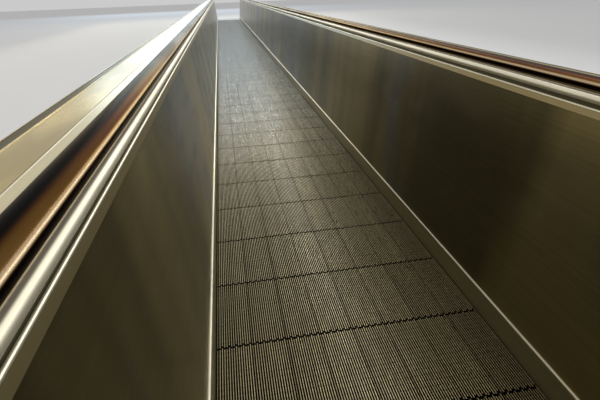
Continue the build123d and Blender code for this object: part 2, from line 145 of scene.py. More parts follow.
class RailSizes(bpy.types.PropertyGroup):
    """Sizes of the belt and the mouldings under it"""

    belt_height: length("Belt height", 0.033, "Height of the belt from crown to lip")
    belt_top: length("Belt top", 0.011, "Thickness of the belt over its guide")
    crown_rise: length("Crown rise", 0.0025, "How much the middle of the crown stands over its shoulders")
    shoulder: length("Shoulder", 0.022, "Half the width of the crown")
    foot: length("Foot", 0.036, "Half the width of the belt at its lips")
    throat: length("Throat", 0.020, "Half the width between the lips")
    cavity: length("Cavity", 0.030, "Half the width of the cavity")
    lip: length("Lip", 0.008, "Thickness of the lips")
    strip_height: length("Strip height", 0.020, "Height of the cap's flat strip")
    strip_top_u: length("Strip top", 0.1020, "Distance of the strip's top from the pallets")
    nose_radius: length("Nose radius", 0.0042, "Radius of the cap's bright edge")
    valley_u: length("Valley", 0.1095, "Distance of the valley's back from the pallets")
    lip_width: length("Lip width", 0.0025, "Width of the thin lip behind the round bead")
    lip_rise: length("Lip rise", 0.0020, "Height of that lip over the round bead")
    skirt_bead_radius: length("Skirt bead radius", 0.0035, "Radius along the skirt bead")
    roll_width: length("Roll width", 0.005, "Width of the inner deck's rolled edge")
    roll_rise: length("Roll rise", 0.0012, "Height of the inner deck's rolled edge")


class WalkwayColours(bpy.types.PropertyGroup):
    """Colours of the finishes"""

    alloy: tint("Ridges", (208, 193, 146), "Cast aluminium, worn on top of the ridges")
    grime: tint("Grooves", (5, 4, 3), "Dirt in the grooves")
    panel: tint("Panels", (134, 121, 80), "Brushed stainless of the interior panels")
    panel_deep: tint("Panels, deep", (86, 79, 54), "Darker bands of the interior panels")
    # This cool tint is a painted reflection of the sky in the panels.
    panel_sky_reflection: tint("Panels, cool", (78, 88, 106), "Cooler bands of the interior panels")
    skirt: tint("Skirts", (160, 148, 110), "Brushed stainless of the skirts")
    cap: tint("Panel cap", (137, 123, 86), "Satin stainless of the cap")
    # The valley colour is painted shade: the recess under the round bead drawn darker.
    valley: tint("Valley", (88, 82, 60), "Dull steel of the recess behind the cap's edge")
    trim: tint("Polished trim", (238, 229, 204), "Polished stainless")
    belt: tint("Belt", (18, 12, 8), "Black belt")
    # The next two colours are painted light on the belt: a brown reflection over its inner half and a
    # highlight line along its shoulder.
    belt_reflected: tint("Belt, worn", (108, 80, 46), "Inner half of the belt, glossy from hands")
    belt_highlight: tint("Belt, rubbed", (198, 174, 140), "Line along the shoulder that hands rub most")
    belt_sheen: tint("Belt sheen", (156, 146, 124), "Warm gloss on the belt")
    guide: tint("Guide", (16, 13, 11), "Dark coated guide")
    deck: tint("Decks", (214, 193, 136), "Bright brushed stainless of the decks")
    inner_deck: tint("Inner decks", (244, 231, 190), "Paler brushed stainless beside the belts")
    cladding: tint("Cladding", (164, 156, 130), "Brushed stainless of the cladding")
    plate: tint("Floor plates", (172, 167, 152), "Ribbed stainless of the floor plates")
    comb: tint("Combs", (186, 176, 152), "Satin aluminium of the combs")
    frame: tint("Frame", (62, 62, 60), "Painted steel of the frame")


# Shader groups


def group_tree(name, inputs, outputs):
    """A shader group that takes a vector and further inputs: its tree, and its sockets inside."""
    tree = bpy.data.node_groups.new(name, "ShaderNodeTree")
    for socket_name, default in {"Vector": (0, 0, 0), **inputs}.items():
        kind = "NodeSocketVector" if isinstance(default, tuple) else "NodeSocketFloat"
        socket = tree.interface.new_socket(name=socket_name, in_out="INPUT", socket_type=kind)
        socket.default_value = default
    for socket_name in outputs:
        tree.interface.new_socket(name=socket_name, in_out="OUTPUT", socket_type="NodeSocketFloat")
    return tree, tree.nodes.new("NodeGroupInput").outputs, tree.nodes.new("NodeGroupOutput").inputs


def feed(tree, socket, value):
    """Sets an input to a value, or links it when the value is a socket."""
    if isinstance(value, bpy.types.NodeSocket):
        tree.links.new(value, socket)
    else:
        socket.default_value = value


def math_node(tree, operation, *values):
    """A math node on values or sockets."""
    node = tree.nodes.new("ShaderNodeMath")
    node.operation = operation
    for socket, value in zip(node.inputs, values):
        feed(tree, socket, value)
    return node.outputs[0]


def product(tree, first, second):
    """Product of two values or sockets."""
    return math_node(tree, "MULTIPLY", first, second)


def axes(tree, vector):
    """The X, Y and Z of a vector."""
    node = tree.nodes.new("ShaderNodeSeparateXYZ")
    tree.links.new(vector, node.inputs[0])
    return node.outputs


def noise_node(tree, vector, scale, detail, roughness=0.5):
    """Noise at a scale on a vector."""
    node = tree.nodes.new("ShaderNodeTexNoise")
    node.inputs["Detail"].default_value = detail
    node.inputs["Roughness"].default_value = roughness
    node.inputs["Scale"].default_value = scale
    tree.links.new(vector, node.inputs["Vector"])
    return node.outputs["Fac"]


def stretched(tree, vector, stretch):
    """The vector multiplied by another, channel by channel."""
    node = tree.nodes.new("ShaderNodeVectorMath")
    node.operation = "MULTIPLY"
    tree.links.new(vector, node.inputs[0])
    feed(tree, node.inputs[1], stretch)
    return node.outputs[0]


def ramp(tree, value, start, stop):
    """The value taken from start..stop to 0..1, smoothly and clamped."""
    node = tree.nodes.new("ShaderNodeMapRange")
    node.interpolation_type = "SMOOTHSTEP"
    tree.links.new(value, node.inputs["Value"])
    feed(tree, node.inputs["From Min"], start)
    feed(tree, node.inputs["From Max"], stop)
    return node.outputs["Result"]


def brushing_group():
    """Fine brush lines: noise drawn out along the grain."""
    stretches = {"Stretch": (900, 6, 900), "Broad stretch": (120, 1.2, 120)}
    tree, given, out = group_tree("Brushed grain", stretches, ("Grain", "Broad"))
    fine = noise_node(tree, stretched(tree, given["Vector"], given["Stretch"]), 1, 2, 0.6)
    broad = noise_node(tree, stretched(tree, given["Vector"], given["Broad stretch"]), 1, 3, 0.55)
    tree.links.new(fine, out["Grain"])
    tree.links.new(broad, out["Broad"])
    return tree


def clouding_group():
    """Soft large patches, such as uneven polish or handling."""
    limits = {"Stretch": (1, 1, 1), "Start": 0.35, "Stop": 0.7}
    tree, given, out = group_tree("Clouded finish", limits, ("Mask",))
    patches = noise_node(tree, stretched(tree, given["Vector"], given["Stretch"]), 1, 3)
    tree.links.new(ramp(tree, patches, given["Start"], given["Stop"]), out["Mask"])
    return tree


def scuff_group():
    """Thin scratches that run along one direction, here and there."""
    tree, given, out = group_tree("Scuffs", {"Stretch": (400, 9, 400), "Amount": 0.7}, ("Mask",))
    lines = noise_node(tree, stretched(tree, given["Vector"], given["Stretch"]), 1, 1, 0.4)
    places = noise_node(tree, given["Vector"], 7, 2)
    both = product(tree, ramp(tree, lines, 0.66, 0.72), ramp(tree, places, 0.45, 0.65))
    tree.links.new(product(tree, both, given["Amount"]), out["Mask"])
    return tree


def dust_group():
    """Dust that thickens towards a low edge."""
    tree, given, out = group_tree("Dust", {"Low": 0.0, "High": 0.2, "Amount": 0.5}, ("Mask",))
    rise = ramp(tree, axes(tree, given["Vector"])["Z"], given["High"], given["Low"])
    specks = ramp(tree, noise_node(tree, given["Vector"], 60, 4, 0.6), 0.3, 0.75)
    tree.links.new(product(tree, product(tree, rise, specks), given["Amount"]), out["Mask"])
    return tree


GROUP_MAKERS = {
    "Brushed grain": brushing_group,
    "Clouded finish": clouding_group,
    "Scuffs": scuff_group,
    "Dust": dust_group,
}


def place_group(tree, name, vector, **values):
    """One of the shared effects in a material, with that material's values. Underscores stand for spaces."""
    node = tree.nodes.new("ShaderNodeGroup")
    node.node_tree = bpy.data.node_groups.get(name) or GROUP_MAKERS[name]()
    tree.links.new(vector, node.inputs["Vector"])
    for key, value in values.items():
        node.inputs[key.replace("_", " ").capitalize()].default_value = value
    return node.outputs


# Materials


METAL_EDGE = (0.92, 0.9, 0.84)
UPRIGHT, CROSSWAYS = (0.06, 0.03, 1), (1, 0.03, 0.06)


def surface(name, metallic, specular=0.5, edge=(1, 1, 1)):
    """Makes a finish's material: its tree, shader and object coordinates. edge tints grazing views."""
    material = bpy.data.materials.new(f"finish_{name}")
    material.use_nodes = True
    tree = material.node_tree
    shader = tree.nodes["Principled BSDF"]
    shader.inputs["Metallic"].default_value = metallic
    shader.inputs["Specular IOR Level"].default_value = specular
    shader.inputs["Specular Tint"].default_value = (*edge, 1)
    return tree, shader, tree.nodes.new("ShaderNodeTexCoord").outputs["Object"]


def clouds(tree, where, stretch, start=0.35, stop=0.7):
    """Mask of soft patches."""
    return place_group(tree, "Clouded finish", where, stretch=stretch, start=start, stop=stop)["Mask"]


def scuffs(tree, where, amount, stretch=(400, 9, 400)):
    """Mask of thin scratches."""
    return place_group(tree, "Scuffs", where, stretch=stretch, amount=amount)["Mask"]


def brush_lines(tree, where, fine, broad):
    """Fine and broad brush lines."""
    return place_group(tree, "Brushed grain", where, stretch=fine, broad_stretch=broad)


def blended(tree, mask, first, second):
    """Colour that goes from first to second with the mask. Each is a colour or a socket."""
    node = tree.nodes.new("ShaderNodeMix")
    node.data_type = "RGBA"
    tree.links.new(mask, node.inputs["Factor"])
    for socket, color in ((node.inputs[6], first), (node.inputs[7], second)):
        if isinstance(color, bpy.types.NodeSocket):
            tree.links.new(color, socket)
        else:
            socket.default_value = (*color, 1)
    return node.outputs[2]


def partly(tree, mask, share, first, second):
    """Colour that goes a share of the way from first to second with the mask."""
    return blended(tree, product(tree, mask, share), first, second)


def multiplied(tree, first, second):
    """Product of two colours."""
    node = tree.nodes.new("ShaderNodeMix")
    node.data_type = "RGBA"
    node.blend_type = "MULTIPLY"
    node.inputs["Factor"].default_value = 1
    tree.links.new(first, node.inputs[6])
    tree.links.new(second, node.inputs[7])
    return node.outputs[2]


def spread(tree, mask, first, second):
    """Number that goes from first to second with the mask."""
    node = tree.nodes.new("ShaderNodeMapRange")
    tree.links.new(mask, node.inputs["Value"])
    node.inputs["To Min"].default_value = first
    node.inputs["To Max"].default_value = second
    return node.outputs["Result"]


def raised(tree, value, mask, first, second):
    """The value with a number added that goes from first to second with the mask."""
    return math_node(tree, "ADD", value, spread(tree, mask, first, second))


def finished(tree, shader, tone, polish, height, strength, distance=0.0002):
    """Feeds colour, roughness and a bump from a height to the shader."""
    tree.links.new(tone, shader.inputs["Base Color"])
    tree.links.new(polish, shader.inputs["Roughness"])
    node = tree.nodes.new("ShaderNodeBump")
    node.inputs["Strength"].default_value = strength
    node.inputs["Distance"].default_value = distance
    tree.links.new(height, node.inputs["Height"])
    tree.links.new(node.outputs["Normal"], shader.inputs["Normal"])


def grained(tree, shader, amount, direction):
    """Draws highlights out along a direction, square to the brush lines."""
    node = tree.nodes.new("ShaderNodeCombineXYZ")
    for socket, value in zip(node.inputs, direction):
        socket.default_value = value
    tree.links.new(node.outputs[0], shader.inputs["Tangent"])
    shader.inputs["Anisotropic"].default_value = amount


def shade(color, factor):
    """The colour made lighter or darker."""
    return tuple(min(channel * factor, 1) for channel in color)


def brushed_steel(name, light, dark, rough, highlight=UPRIGHT, patch=(0.5, 0.25, 0.9), bump=0.25, lines=0.16):
    """Brushed stainless: fine lines along the walkway, softly clouded, with a few scuffs."""
    grain = (700, 5, 700)
    tree, shader, where = surface(name, 0.72, edge=METAL_EDGE)
    grained(tree, shader, 0.6, highlight)
    brush = brush_lines(tree, where, grain, [stretch / 9 for stretch in grain])
    patches = clouds(tree, where, patch)
    plain = blended(tree, patches, dark, light)
    streak = blended(tree, patches, shade(dark, 1 - lines), shade(light, 1 - lines * 0.6))
    tone = blended(tree, ramp(tree, brush["Broad"], 0.3, 0.75), streak, plain)
    tone = blended(tree, scuffs(tree, where, lines * 2), tone, shade(light, 1.25))
    polish = raised(tree, spread(tree, brush["Grain"], rough * 0.8, rough * 1.25), patches, 0.05, 0)
    finished(tree, shader, tone, polish, brush["Grain"], bump)


def panel_steel(colors):
    """Dark brushed stainless in wide soft bands up the panels, brown and grey-green, with cool bands that are
    a painted reflection of the sky.
    """
    tree, shader, where = surface("panel_steel", 0.86, edge=METAL_EDGE)
    grained(tree, shader, 0.75, UPRIGHT)
    lines = brush_lines(tree, where, (900, 4, 900), (90, 0.5, 90))
    bands = clouds(tree, where, (0.35, 1.3, 0.12), 0.43, 0.57)
    # Cool bands: a painted reflection of the sky.
    sky_bands = clouds(tree, where, (0.3, 0.75, 0.5), 0.5, 0.62)
    handled = clouds(tree, where, (5, 3, 7), 0.45, 0.8)
    tone = blended(tree, bands, colors.panel_deep, colors.panel)
    tone = partly(tree, sky_bands, 0.7, tone, colors.panel_sky_reflection)
    streak = blended(tree, ramp(tree, lines["Broad"], 0.3, 0.75), (0.86, 0.86, 0.85), (1, 1, 1))
    tone = multiplied(tree, tone, streak)
    tone = blended(tree, scuffs(tree, where, 0.22, (700, 3, 700)), tone, shade(colors.panel, 1.9))
    polish = raised(tree, spread(tree, lines["Grain"], 0.24, 0.36), handled, 0, 0.07)
    finished(tree, shader, tone, polish, lines["Grain"], 0.2)


def deck_edge_steel(colors):
    """Trim along the deck: raised line and lip polished, the strip between them brushed and darkened as a
    painted dark reflection.
    """
    tree, shader, where = surface("deck_edge", 0.9, edge=(0.75, 0.72, 0.62))
    strip_z = strip_top("left_deck_edge")
    foot_z, crest_z = strip_z + 0.0003, strip_z + 0.0014
    ridge = ramp(tree, axes(tree, where)["Z"], foot_z, crest_z)
    lines = brush_lines(tree, where, (700, 4, 700), (80, 0.6, 80))
    patches = clouds(tree, where, (4, 0.8, 4))
    # The strip is the cladding colour darkened to a painted dark reflection.
    strip = blended(tree, patches, shade(colors.cladding, 0.26), shade(colors.cladding, 0.42))
    polish = raised(tree, spread(tree, lines["Grain"], 0.26, 0.36), ridge, 0, -0.1)
    finished(tree, shader, blended(tree, ridge, strip, colors.trim), polish, lines["Grain"], 0.12)


def polished_steel(name, light, rough):
    """Polished stainless with faint wear along its length."""
    tree, shader, where = surface(name, 0.8)
    lines = brush_lines(tree, where, (500, 3, 500), (60, 0.8, 60))
    patches = clouds(tree, where, (14, 2.2, 14))
    polish = raised(tree, spread(tree, lines["Broad"], rough * 0.7, rough * 1.4), patches, 0, 0.03)
    finished(tree, shader, blended(tree, patches, shade(light, 0.86), light), polish, lines["Grain"], 0.06)


def bead_steel(colors):
    """Polished moulding under the belt: bright on its face, with painted shade where it turns in beside the
    belt.
    """
    face_u, shaded_u, groove, clear = 0.1035, 0.1075, 0.0002, 0.0012
    tree, shader, where = surface("bead_steel", 0.8)
    out_u = math_node(tree, "SUBTRACT", math_node(tree, "ABSOLUTE", axes(tree, where)["X"]), HALF_WIDTH)
    lip_u = CAP_BACK_U - bpy.context.scene.walkway_rail.lip_width
    before_lip = ramp(tree, out_u, lip_u - groove, lip_u - clear)
    # Painted shade: the colour darkens where the bead turns in under the belt, up to the lip.
    shaded_turn = product(tree, ramp(tree, out_u, face_u, shaded_u), before_lip)
    lines = brush_lines(tree, where, (500, 3, 500), (60, 0.8, 60))
    face = blended(tree, clouds(tree, where, (14, 2.2, 14)), shade(colors.trim, 0.86), colors.trim)
    tone = blended(tree, shaded_turn, face, shade(colors.trim, 0.44))
    finished(tree, shader, tone, spread(tree, lines["Broad"], 0.3, 0.6), lines["Grain"], 0.06)


def tile_tones(tree, where, sizes):
    """A number of its own for each casting of each pallet."""
    step = tree.nodes.new("ShaderNodeVectorMath")
    step.operation = "FLOOR"
    tree.links.new(stretched(tree, where, (1 / sizes.module_width, 1 / sizes.pitch, 0)), step.inputs[0])
    tiles = tree.nodes.new("ShaderNodeTexWhiteNoise")
    tiles.noise_dimensions = "3D"
    tree.links.new(step.outputs[0], tiles.inputs["Vector"])
    return tiles.outputs["Value"]


def tread_alloy(colors):
    """Cast ridges: worn bright on top under a thin polish, notched across, dark dirt down the grooves."""
    notch_pitch, notch_share = 0.025, 0.11
    tree, shader, where = surface("tread_alloy", 0.85, specular=0.1)
    place = axes(tree, where)
    grime_z, worn_z = TREAD_Z - 0.0011, TREAD_Z - 0.0003
    height = ramp(tree, place["Z"], grime_z, worn_z)
    along = math_node(tree, "FRACT", math_node(tree, "DIVIDE", place["Y"], notch_pitch))
    notch = math_node(tree, "LESS_THAN", along, notch_share)
    wear = clouds(tree, where, (110, 14, 110), 0.3, 0.72)
    top = blended(tree, wear, shade(colors.alloy, 0.7), colors.alloy)
    top = partly(tree, clouds(tree, where, (3.5, 1.6, 3.5)), 0.22, top, shade(colors.alloy, 0.5))
    top = partly(tree, clouds(tree, where, (28, 0.4, 1), 0.42, 0.62), 0.45, top, shade(colors.alloy, 0.5))
    tones = tile_tones(tree, where, bpy.context.scene.walkway_tread)
    top = partly(tree, tones, 0.38, top, shade(colors.alloy, 0.45))
    top = blended(tree, scuffs(tree, where, 0.8, (900, 22, 900)), top, shade(colors.alloy, 1.3))
    top = partly(tree, notch, 0.45, top, colors.grime)
    bare = spread(tree, height, 0, 0.85)
    tree.links.new(bare, shader.inputs["Metallic"])
    tree.links.new(bare, shader.inputs["Coat Weight"])
    shader.inputs["Coat Roughness"].default_value = 0.2
    polish = raised(tree, spread(tree, wear, 0.4, 0.26), height, 0.5, 0)
    relief = math_node(tree, "SUBTRACT", noise_node(tree, where, 1400, 2, 0.5), notch)
    finished(tree, shader, blended(tree, height, colors.grime, top), polish, relief, 0.22, 0.0004)


def belt_rubber(colors):
    """Black glossy belt, with a painted brown reflection over the inner half that hands lie on and a painted
    highlight line along its shoulder.
    """
    tree, shader, where = surface("belt_rubber", 0.7, edge=colors.belt_sheen)
    shader.inputs["IOR"].default_value = 1.1
    facing = axes(tree, where.node.outputs["Normal"])["X"]
    outward = product(tree, facing, math_node(tree, "SIGN", axes(tree, where)["X"]))
    inward = product(tree, outward, -1)
    # The inner half, which faces the walkway, gets a painted brown reflection, and a band along its shoulder
    # gets a painted highlight.
    inner_half = product(tree, ramp(tree, inward, 0, 0.24), ramp(tree, inward, 1, 0.93))
    highlight_line = product(tree, ramp(tree, inward, 0.5, 0.72), ramp(tree, inward, 0.96, 0.84))
    patches = clouds(tree, where, (9, 1.4, 9))
    reflected_tone = blended(tree, patches, colors.belt_reflected, shade(colors.belt_reflected, 0.55))
    reflected_tone = blended(tree, highlight_line, reflected_tone, colors.belt_highlight)
    tone = blended(tree, inner_half, colors.belt, reflected_tone)
    tone = blended(tree, scuffs(tree, where, 0.3, (420, 5, 420)), tone, (0.05, 0.045, 0.04))
    finished(tree, shader, tone, spread(tree, patches, 0.24, 0.31), noise_node(tree, where, 900, 2), 0.05)


def collar_rubber(colors):
    """Matt black moulded collar with a fine grain."""
    tree, shader, where = surface("collar_rubber", 0)
    grain = noise_node(tree, where, 1600, 3, 0.6)
    tone = blended(tree, clouds(tree, where, (30, 30, 30)), colors.belt, shade(colors.belt, 2.4))
    finished(tree, shader, tone, spread(tree, grain, 0.5, 0.75), grain, 0.3, 0.0004)


def painted_steel(name, color):
    """Matt paint over steel, dusty low down, with a slight orange peel."""
    tree, shader, where = surface(name, 0)
    dust = place_group(tree, "Dust", where, low=0, high=0.9, amount=0.55)["Mask"]
    tone = blended(tree, clouds(tree, where, (5, 5, 5)), color, shade(color, 1.3))
    tone = blended(tree, dust, tone, (0.28, 0.25, 0.2))
    finished(tree, shader, tone, spread(tree, dust, 0.42, 0.8), noise_node(tree, where, 500, 2), 0.12, 0.0004)


def floor_plate_steel(colors):
    """Stainless floor plate: brushed on its ribs, darker between them as painted shade."""
    tree, shader, where = surface("floor_plate", 0.9)
    plate_z = high("landing_plates")[2]
    foot_z, crest_z = plate_z + 0.0003, plate_z + 0.0012
    rib_tops = ramp(tree, axes(tree, where)["Z"], foot_z, crest_z)
    dirt = clouds(tree, where, (6, 6, 6), 0.4, 0.8)
    fine = clouds(tree, where, (90, 90, 90), 0.35, 0.75)
    tone = blended(tree, fine, shade(colors.plate, 0.72), colors.plate)
    tone = blended(tree, dirt, tone, shade(colors.plate, 0.5))
    # Between the ribs the colour is darkened as painted shade.
    between = blended(tree, fine, shade(colors.plate, 0.26), shade(colors.plate, 0.4))
    grain = brush_lines(tree, where, (500, 12, 500), (50, 3, 50))["Grain"]
    finished(tree, shader, blended(tree, rib_tops, between, tone), spread(tree, dirt, 0.3, 0.55), grain, 0.2)


def comb_alloy(colors):
    """Satin cast aluminium, darker down between the teeth."""
    tree, shader, where = surface("comb_alloy", 0.9)
    gap_z, tooth_z = TREAD_Z - 0.004, TREAD_Z + 0.003
    height = ramp(tree, axes(tree, where)["Z"], gap_z, tooth_z)
    wear = clouds(tree, where, (60, 30, 60))
    tone = blended(tree, wear, shade(colors.comb, 0.75), colors.comb)
    tone = blended(tree, height, shade(colors.comb, 0.3), tone)
    grain = noise_node(tree, where, 1100, 2)
    finished(tree, shader, tone, spread(tree, wear, 0.42, 0.3), grain, 0.15, 0.0003)


def stage_floor():
    """Plain matt floor with faint patches."""
    pale = (0.56, 0.555, 0.545)
    tree, shader, where = surface("stage_floor", 0, specular=0.2)
    tone = blended(tree, noise_node(tree, where, 0.8, 3), pale, shade(pale, 1.06))
    tree.links.new(tone, shader.inputs["Base Color"])
    shader.inputs["Roughness"].default_value = 0.9


def make_materials():
    """Makes every finish."""
    colors = bpy.context.scene.walkway_colours
    stage_floor()
    painted_steel("structural_steel", colors.frame)
    tread_alloy(colors)
    comb_alloy(colors)
    floor_plate_steel(colors)
    brushed_steel("cladding_steel", colors.cladding, shade(colors.cladding, 0.8), 0.34)
    panel_steel(colors)
    polished_steel("polished_trim", colors.trim, 0.43)
    bead_steel(colors)
    # The nose and skirt beads get a lighter copy of the trim colour, a painted highlight on those thin edges.
    polished_steel("bright_edge", shade(colors.trim, 1.2), 0.28)
    deck_edge_steel(colors)
    brushed_steel("skirt_steel", colors.skirt, shade(colors.skirt, 0.75), 0.3)
    brushed_steel("cap_steel", colors.cap, shade(colors.cap, 0.88), 0.27, lines=0.08)
    # The valley's finish is darker as painted shade under the round bead.
    brushed_steel("valley_shade_steel", colors.valley, shade(colors.valley, 0.8), 0.4, lines=0.08)
    painted_steel("guide_steel", colors.guide)
    belt_rubber(colors)
    collar_rubber(colors)
    deck = {"rough": 0.26, "highlight": CROSSWAYS, "bump": 0.08, "lines": 0.05}
    light, dark = shade(colors.deck, 1.12), shade(colors.deck, 0.62)
    brushed_steel("deck_steel", light, dark, patch=(4.5, 1.6, 4.5), **deck)
    brushed_steel("inner_deck", colors.inner_deck, shade(colors.inner_deck, 0.8), patch=(3, 0.9, 3), **deck)


def material_of(slot):
    """The finish of a slot, made when it is first asked for."""
    if f"finish_{slot}" not in bpy.data.materials:
        make_materials()
    return bpy.data.materials[f"finish_{slot}"]


# Meshes


def add_rings(points, faces, rings, loop):
    """Skins closed rings one to the next, and the last to the first in a loop. Else both ends get a cap."""
    base, size = len(points), len(rings[0])
    for ring in rings:
        points.extend(ring)
    for step in range(len(rings) if loop else len(rings) - 1):
        here, there = base + step * size, base + (step + 1) % len(rings) * size
        for index in range(size):
            after = (index + 1) % size
            faces.append((here + index, here + after, there + after, there + index))
    if not loop:
        faces.append(tuple(range(base, base + size)))
        faces.append(tuple(range(base + (len(rings) - 1) * size, base + len(rings) * size)))


def new_piece(name, skins, slot, replaced=(), crease=30, finish=None, loop=False):
    """A piece made of closed skins, each a list of rings. finish takes the place of its slot's own."""
    points, faces = [], []
    for rings in skins:
        add_rings(points, faces, rings, loop)
    mesh = bpy.data.meshes.new(name)
    mesh.from_pydata(points, [], faces)
    shape = bmesh.new()
    shape.from_mesh(mesh)
    bmesh.ops.recalc_face_normals(shape, faces=shape.faces)
    shape.to_mesh(mesh)
    shape.free()
    mesh.polygons.foreach_set("use_smooth", [True] * len(mesh.polygons))
    mesh.set_sharp_from_angle(angle=radians(crease))
    mesh.materials.append(material_of(finish or slot))
    piece = bpy.data.objects.new(name, mesh)
    bpy.context.scene.collection.objects.link(piece)
    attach(piece, "root")
    if replaced:
        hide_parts(*replaced)
    return piece


def across(side, u):
    """The x of a point u outside the edge of the pallets."""
    return side * (HALF_WIDTH + u)


def level_rings(outline, stations):
    """An outline of (x, z) set at each y."""
    return [[(x, y, z) for x, z in outline] for y in stations]


def straight_rings(side, outline, node):
    """An outline of (u, z), carried straight from one end of a node to the other."""
    return level_rings([(across(side, u), z) for u, z in outline], (low(node)[1], high(node)[1]))


def rail_rings(side, outline, steps):
    """An outline of (u, z), carried from under the entry newel, along the top, to under the exit newel."""
    rings = []
    for end_y, start in ((-NEWEL_Y, -pi), (NEWEL_Y, 0)):
        for step in range(steps + 1):
            turn = start + pi * step / steps
            rings.append([
                (across(side, u), end_y + (z - AXIS_Z) * sin(turn), AXIS_Z + (z - AXIS_Z) * cos(turn))
                for u, z in outline
            ])
    return rings


def arc(center, radius_u, radius_z, start, stop, steps):
    """Points of an elliptic arc in (u, z), from start to stop in degrees."""
    angles = [radians(start + (stop - start) * step / steps) for step in range(steps + 1)]
    return [(center[0] + radius_u * cos(angle), center[1] + radius_z * sin(angle)) for angle in angles]


# Pallets


def ridge_starts(sizes):
    """The x of the middle of each ridge."""
    count = int(2 * HALF_WIDTH // sizes.ridge_pitch)
    return [(index - (count - 1) / 2) * sizes.ridge_pitch for index in range(count)]


def ridge_rings(x, start, stop, sizes, share):
    """One ridge, let a little into the pallet, its ends sloping down. share scales its width."""
    top = share * sizes.ridge_width / 2
    foot = top + sizes.ridge_draft
    floor = TREAD_Z - sizes.ridge_height - sizes.ridge_bevel
    slope = sizes.joint_chamfer
    rings = []
    for y, drop in ((start, slope), (start + slope, 0), (stop - slope, 0), (stop, slope)):
        crest = TREAD_Z - drop
        outline = [
            (x - foot, floor),
            (x + foot, floor),
            (x + top, crest - sizes.ridge_bevel),
            (x + top - sizes.ridge_bevel, crest),
            (x - top + sizes.ridge_bevel, crest),
            (x - top, crest - sizes.ridge_bevel),
        ]
        rings += level_rings(outline, (y,))
    return rings


def ridged_pallets(bay):
    """The pallets of one bay. Every third ridge reaches over the joint, so the joint shows as a zigzag."""
    reaching, seam_share = 3, 0.7
    sizes = bpy.context.scene.walkway_tread
    first = bay * BAY_LENGTH - BAND_END
    slab_top = TREAD_Z - sizes.ridge_height
    slab = [(-HALF_WIDTH, SLAB_Z), (HALF_WIDTH, SLAB_Z), (HALF_WIDTH, slab_top), (-HALF_WIDTH, slab_top)]
    in_module = round(sizes.module_width / sizes.ridge_pitch)
    skins = []
    for number in range(round(BAY_LENGTH / sizes.pitch)):
        start = first + number * sizes.pitch + PALLET_GAP / 2
        stop = start + sizes.pitch - PALLET_GAP
        skins.append(level_rings(slab, (start, stop)))
        opens = start - PALLET_GAP > -BAND_END
        closes = stop + PALLET_GAP < BAND_END
        for index, x in enumerate(ridge_starts(sizes)):
            reach = sizes.joint_step if index % reaching == reaching - 1 else 0
            share = seam_share if index % in_module == 0 else 1
            skins.append(ridge_rings(x, start + reach * opens, stop + reach * closes, sizes, share))
    return new_piece(f"ridged_pallets_{bay + 1}", skins, "tread_alloy", (f"pallets_bay_{bay + 1}",))


# Belts and mouldings


def belt_outline(sizes):
    """Section of the belt: domed crown, full round sides, lips turned in round the guide."""
    waist_share, crown_steps, side_steps, foot_steps = 0.48, 6, 14, 6
    top, bottom = RAIL_TOP, RAIL_TOP - sizes.belt_height
    waist = bottom + sizes.belt_height * waist_share
    lip, cavity_top = bottom + sizes.lip, RAIL_TOP - sizes.belt_top
    radius = (sizes.shoulder ** 2 + sizes.crown_rise ** 2) / (2 * sizes.crown_rise)
    crown_us = [sizes.shoulder * step / crown_steps for step in range(crown_steps + 1)]
    crown = [(u, top - radius + (radius ** 2 - u ** 2) ** 0.5) for u in crown_us]
    drop, reach = top - sizes.crown_rise - waist, BELT_HALF - sizes.shoulder
    slope = sizes.shoulder / (radius ** 2 - sizes.shoulder ** 2) ** 0.5
    start = acos(1 / (drop / (slope * reach) - 1))
    wide, tall = reach / (1 - cos(start)), drop / sin(start)
    side = arc((BELT_HALF - wide, waist), wide, tall, degrees(start), 0, side_steps)[1:]
    foot = arc((sizes.foot, waist), BELT_HALF - sizes.foot, waist - bottom, 0, -90, foot_steps)[1:]
    inside = [(sizes.throat, bottom), (sizes.throat, lip), (sizes.cavity, lip), (sizes.cavity, cavity_top)]
    half = crown + side + foot + inside
    return [(RAIL_U + u, z) for u, z in half] + [(RAIL_U - u, z) for u, z in reversed(half[1:])]


def belt(side_name, side):
    """One closed loop of belt."""
    rings = rail_rings(side, belt_outline(bpy.context.scene.walkway_rail), 64)
    replaced = (f"{side_name}_handrail",)
    return new_piece(f"{side_name}_belt", [rings], "belt_rubber", replaced, crease=50, loop=True)


def nose_center(sizes):
    """Middle of the cap's round edge."""
    set_back = 0.9
    return sizes.strip_top_u + set_back * sizes.nose_radius, CAP_LOW_Z + sizes.strip_height


def cap_outline(sizes):
    """The flat strip up to the nose, with its back."""
    nose_u, nose_z = nose_center(sizes)
    return [
        (CAP_BACK_U, CAP_LOW_Z),
        (CAP_FRONT_U, CAP_LOW_Z),
        (sizes.strip_top_u, nose_z),
        (nose_u, nose_z),
        (CAP_BACK_U, nose_z),
    ]


def nose_outline(sizes):
    """The round bright edge between strip and valley."""
    steps = 20
    return arc(nose_center(sizes), sizes.nose_radius, sizes.nose_radius, 0, 360 - 360 / steps, steps - 1)


def valley_outline(sizes):
    """The recess between the nose and the round bead, in a darker finish that is painted shade."""
    lap, floor_rise = 0.0005, 0.0006
    nose_u, nose_z = nose_center(sizes)
    return [
        (CAP_BACK_U, nose_z - lap),
        (nose_u, nose_z - lap),
        (nose_u, nose_z + floor_rise),
        (sizes.valley_u, nose_z + floor_rise),
        (sizes.valley_u, CAP_TOP_Z),
        (CAP_BACK_U, CAP_TOP_Z),
    ]


